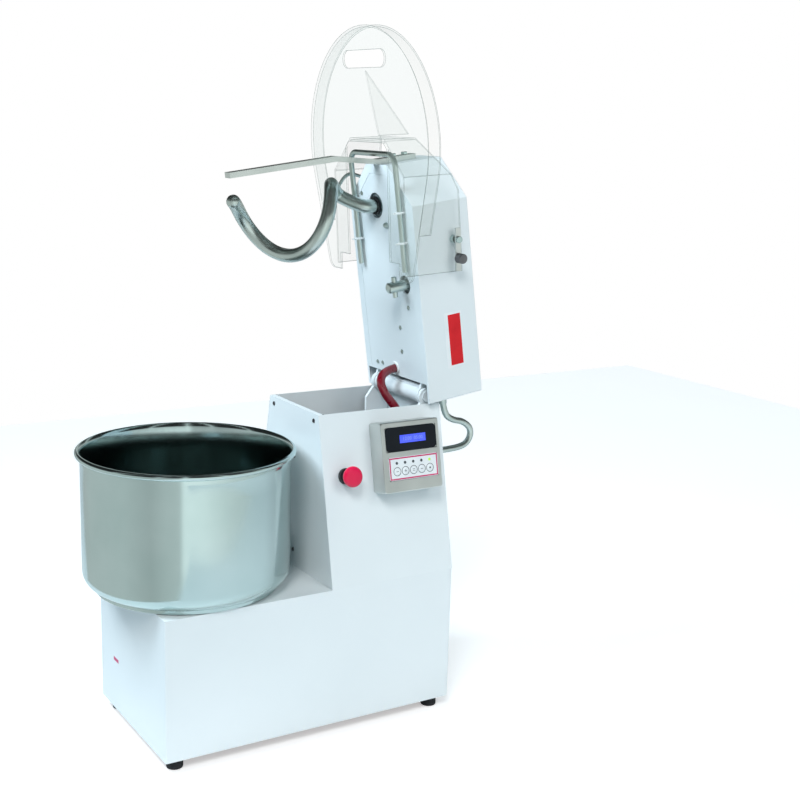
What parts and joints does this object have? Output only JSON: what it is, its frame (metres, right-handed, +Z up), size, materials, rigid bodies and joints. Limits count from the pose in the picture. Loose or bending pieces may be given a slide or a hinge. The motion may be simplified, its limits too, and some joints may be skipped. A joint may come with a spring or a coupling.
{
  "type": "spiral dough mixer",
  "caption": "Tilting-head spiral dough mixer on a white sheet-metal cabinet, with a lift-out stainless bowl, spiral hook, breaker bar, clear lid and side control panel.",
  "frame": {"origin": "On the floor, at the centre of the cabinet's footprint", "axes": "+Z up, the bowl at the front towards -Y, the control panel on the +X side"},
  "size_m": [0.508, 0.9098, 1.5431],
  "materials": {
    "cabinet_paint": "satin",
    "stainless": "brushed",
    "polished_steel": "polished",
    "dark_steel": "machined",
    "cast_grey": "cast",
    "black_rubber": "matte",
    "clear_lid": "clear polycarbonate",
    "clip_plastic": "satin",
    "black_plastic": "satin",
    "window_black": "gloss",
    "screen_blue": "gloss",
    "keypad_print": "printed film",
    "key_grey": "domed film",
    "lamp_green": "gloss",
    "estop_red": "gloss",
    "hose_red": "gloss"
  },
  "bodies": {
    "cabinet": {"cabinet_shell": "cabinet_paint", "column_front_panel": "cabinet_paint", "rear_panel": "cabinet_paint", "floor_plate": "dark_steel", "rubber_feet": "black_rubber", "hinge_frame": "cabinet_paint", "hinge_pin": "polished_steel", "hinge_springs": "dark_steel", "gearbox": "cast_grey", "motor": "cast_grey", "shaft_support": "dark_steel", "shaft_bearings": "cast_grey", "bowl_drive_chain": "dark_steel", "control_box": "stainless", "control_window": "window_black", "display_screen": "screen_blue", "keypad_plate": "keypad_print", "status_lamps": "lamp_green", "estop_collar": "black_plastic", "junction_box": "black_plastic", "rear_glands": "polished_steel", "panel_screws": "polished_steel", "red_hose": "hose_red", "steel_conduit": "stainless"},
    "turntable": {"turntable": "stainless", "table_shaft": "dark_steel", "table_sprocket": "dark_steel"},
    "bowl": {"bowl": "polished_steel"},
    "main_drive": {"main_shaft": "polished_steel", "drive_cup": "polished_steel", "main_sprocket": "dark_steel"},
    "estop": {"estop_button": "estop_red"},
    "head": {"head_cover": "cabinet_paint", "head_base_plate": "cabinet_paint", "head_chassis": "cabinet_paint", "head_bearings": "cast_grey", "head_chain": "dark_steel", "breaker_bar": "stainless", "breaker_bolts": "polished_steel", "guard_hoop": "stainless", "hoop_clips": "clip_plastic", "hose_grommet": "black_rubber", "head_screws": "polished_steel", "side_rod": "stainless", "lid_pivots": "polished_steel"},
    "spiral": {"spiral_shaft": "polished_steel", "spiral_hook": "polished_steel", "spiral_sprocket": "dark_steel"},
    "drive_stub": {"drive_stub": "polished_steel", "cross_pin": "dark_steel", "stub_sprocket": "dark_steel"},
    "lid": {"lid_shell": "clear_lid", "lid_bars": "stainless", "lid_knobs": "black_plastic"},
    "key_1": {"key_1": "key_grey"},
    "key_2": {"key_2": "key_grey"},
    "key_3": {"key_3": "key_grey"},
    "key_4": {"key_4": "key_grey"},
    "key_5": {"key_5": "key_grey"}
  },
  "joints": [
    {"name": "head_tilt", "type": "hinge", "parent": "cabinet", "child": "head", "pos_m": [0, 0.321, 0.73], "axis": [-1, 0, 0], "range_deg": [-81.8, 0], "deforming": ["red_hose", "steel_conduit"]},
    {"name": "spiral_turn", "type": "hinge", "parent": "head", "child": "spiral", "pos_m": [-0.02, 0.25006, 1.1522], "axis": [0, 0.9898, 0.1426], "continuous": true},
    {"name": "stub_turn", "type": "hinge", "parent": "head", "child": "drive_stub", "pos_m": [0.074, 0.27459, 0.98196], "axis": [0, 0.9898, 0.1426], "continuous": true},
    {"name": "lid_hinge", "type": "hinge", "parent": "head", "child": "lid", "pos_m": [0, 0.35818, 1.08897], "axis": [-1, 0, 0], "range_deg": [-4.5, 1]},
    {"name": "turntable_turn", "type": "hinge", "parent": "cabinet", "child": "turntable", "pos_m": [0, -0.219, 0.34], "axis": [0, 0, 1], "continuous": true},
    {"name": "bowl_lift", "type": "slide", "parent": "turntable", "child": "bowl", "axis": [0, 0, 1], "range_m": [0, 0.12]},
    {"name": "main_drive_turn", "type": "hinge", "parent": "cabinet", "child": "main_drive", "pos_m": [0.074, 0.065, 0.3], "axis": [0, 0, 1], "continuous": true},
    {"name": "estop_press", "type": "slide", "parent": "cabinet", "child": "estop", "axis": [-0.9795, 0, -0.2017], "range_m": [0, 0.005]},
    {"name": "key_1_press", "type": "slide", "parent": "cabinet", "child": "key_1", "axis": [-0.9795, 0, -0.2017], "range_m": [0, 0.0006], "stiffness_N_per_m": 500, "springref_m": -0.0006},
    {"name": "key_2_press", "type": "slide", "parent": "cabinet", "child": "key_2", "axis": [-0.9795, 0, -0.2017], "range_m": [0, 0.0006], "stiffness_N_per_m": 500, "springref_m": -0.0006},
    {"name": "key_3_press", "type": "slide", "parent": "cabinet", "child": "key_3", "axis": [-0.9795, 0, -0.2017], "range_m": [0, 0.0006], "stiffness_N_per_m": 500, "springref_m": -0.0006},
    {"name": "key_4_press", "type": "slide", "parent": "cabinet", "child": "key_4", "axis": [-0.9795, 0, -0.2017], "range_m": [0, 0.0006], "stiffness_N_per_m": 500, "springref_m": -0.0006},
    {"name": "key_5_press", "type": "slide", "parent": "cabinet", "child": "key_5", "axis": [-0.9795, 0, -0.2017], "range_m": [0, 0.0006], "stiffness_N_per_m": 500, "springref_m": -0.0006}
  ],
  "couplings": [
    {"joint": "main_drive_turn", "follows": "turntable_turn", "ratio": 4.5},
    {"joint": "stub_turn", "follows": "turntable_turn", "ratio": 4.5},
    {"joint": "spiral_turn", "follows": "turntable_turn", "ratio": 2.8333}
  ]
}
